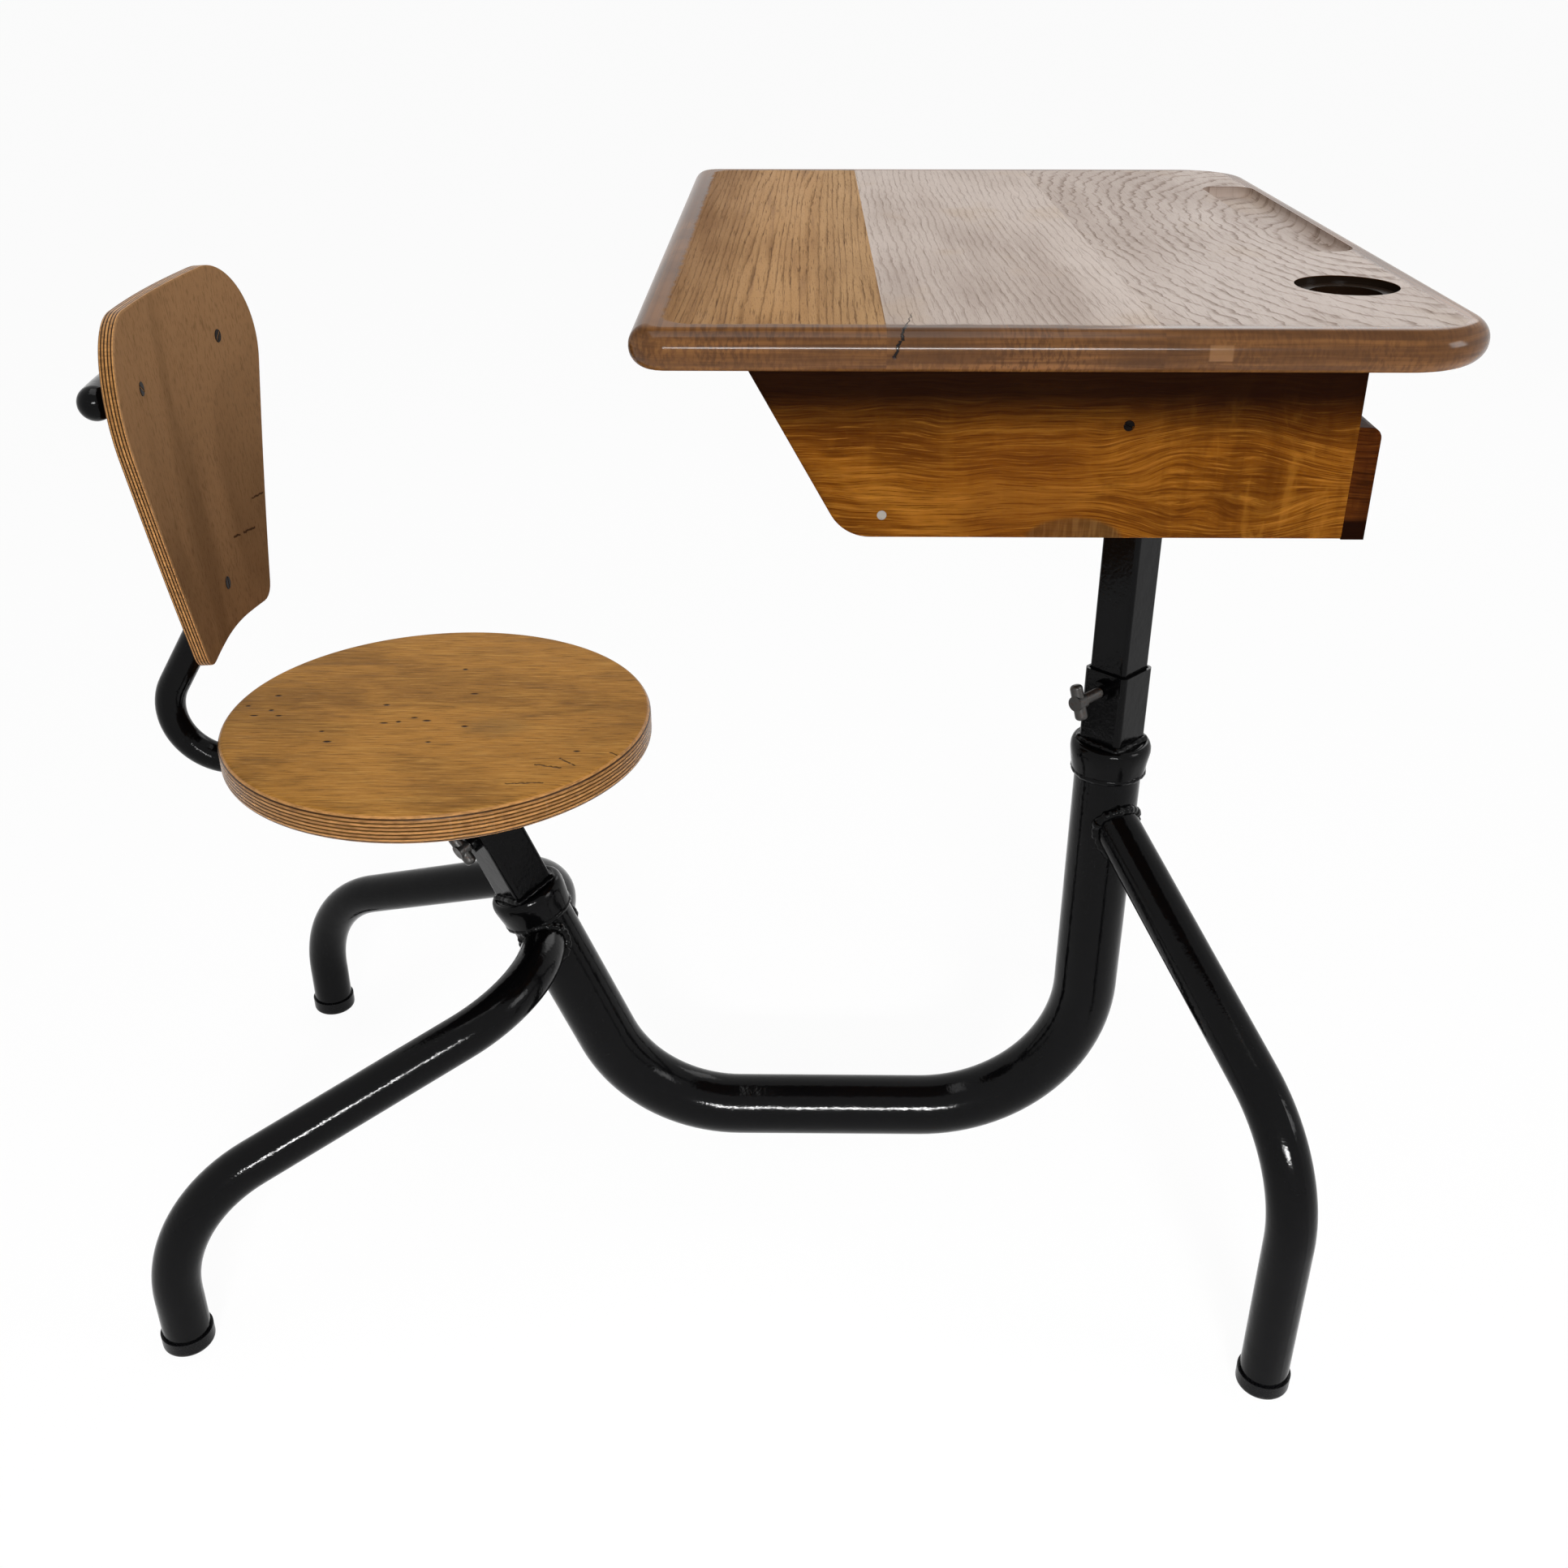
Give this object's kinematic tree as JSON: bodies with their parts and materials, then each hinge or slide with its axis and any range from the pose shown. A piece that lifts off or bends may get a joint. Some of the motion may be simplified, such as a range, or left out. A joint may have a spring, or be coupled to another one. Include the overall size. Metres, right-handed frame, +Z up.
{
  "type": "school desk with attached seat",
  "caption": "School desk with a fixed board top, inkwell hole and open locker, and a round plywood seat, on a shared bent-tube frame; both slide on clamped square posts.",
  "frame": {"origin": "middle of the bounding box, on the floor", "axes": "+Z up, +X from the seat to the desk, -Y to the sitter's right"},
  "size_m": [0.819, 0.574, 0.75],
  "materials": {
    "frame_black": "gloss black paint",
    "foot_black": "worn gloss",
    "clamp_steel": "dark oiled steel",
    "oak_warm": "satin varnish",
    "oak_pale": "satin varnish with a sheen",
    "locker_wood": "varnished",
    "rail_wood": "varnished",
    "seat_ply": "satin varnish",
    "back_ply": "satin varnish",
    "screw_steel": "darkened"
  },
  "bodies": {
    "frame": {"main_tube": "frame_black", "desk_collar": "frame_black", "desk_sleeve": "frame_black", "desk_clamp_nut": "clamp_steel", "seat_collar": "frame_black", "seat_sleeve": "frame_black", "seat_clamp_nut": "clamp_steel", "desk_leg_right": "frame_black", "desk_leg_left": "frame_black", "seat_leg_right": "frame_black", "seat_leg_left": "frame_black", "desk_foot_right": "foot_black", "desk_foot_left": "foot_black", "seat_foot_right": "foot_black", "seat_foot_left": "foot_black"},
    "desk": {"desk_post": "frame_black", "desk_head_plate": "frame_black", "head_plate_screws": "screw_steel", "top_board_front": "oak_warm", "top_board_middle": "oak_pale", "top_board_rear": "oak_pale", "top_cleat_right": "locker_wood", "top_cleat_left": "locker_wood", "cleat_screws": "screw_steel", "locker_side_right": "locker_wood", "locker_side_left": "locker_wood", "locker_side_screws": "screw_steel", "locker_floor": "locker_wood", "floor_nails": "screw_steel", "locker_back_rail": "rail_wood", "back_rail_screws": "screw_steel"},
    "seat": {"seat_post": "frame_black", "seat_plate": "frame_black", "seat_plate_screws": "screw_steel", "seat_disc": "seat_ply", "back_tube": "frame_black", "back_cross_tube": "frame_black", "back_panel": "back_ply", "back_panel_screws": "screw_steel"},
    "desk_screw": {"desk_clamp_shank": "clamp_steel"},
    "desk_handle": {"desk_clamp_bar": "clamp_steel"},
    "seat_screw": {"seat_clamp_shank": "clamp_steel"},
    "seat_handle": {"seat_clamp_bar": "clamp_steel"}
  },
  "joints": [
    {"name": "desk_slide", "type": "slide", "parent": "frame", "child": "desk", "axis": [0, 0, 1], "range_m": [-0.1, 0.06]},
    {"name": "seat_slide", "type": "slide", "parent": "frame", "child": "seat", "axis": [-0.3795, 0, 0.9252], "range_m": [-0.04, 0.08]},
    {"name": "desk_screw_travel", "type": "slide", "parent": "frame", "child": "desk_screw", "axis": [-0.7071, -0.7071, 0], "range_m": [0, 0.003]},
    {"name": "desk_handle_turn", "type": "hinge", "parent": "desk_screw", "child": "desk_handle", "pos_m": [0.2855, 0, 0.439], "axis": [-0.7071, -0.7071, 0], "range_deg": [0, 720]},
    {"name": "seat_screw_travel", "type": "slide", "parent": "frame", "child": "seat_screw", "axis": [-0.6542, -0.7071, -0.2683], "range_m": [0, 0.003]},
    {"name": "seat_handle_turn", "type": "hinge", "parent": "seat_screw", "child": "seat_handle", "pos_m": [-0.17445, 0, 0.31722], "axis": [-0.6542, -0.7071, -0.2683], "range_deg": [0, 720]}
  ],
  "couplings": [
    {"joint": "desk_handle_turn", "follows": "desk_screw_travel", "rad_per_m": 4188.8},
    {"joint": "seat_handle_turn", "follows": "seat_screw_travel", "rad_per_m": 4188.8}
  ]
}
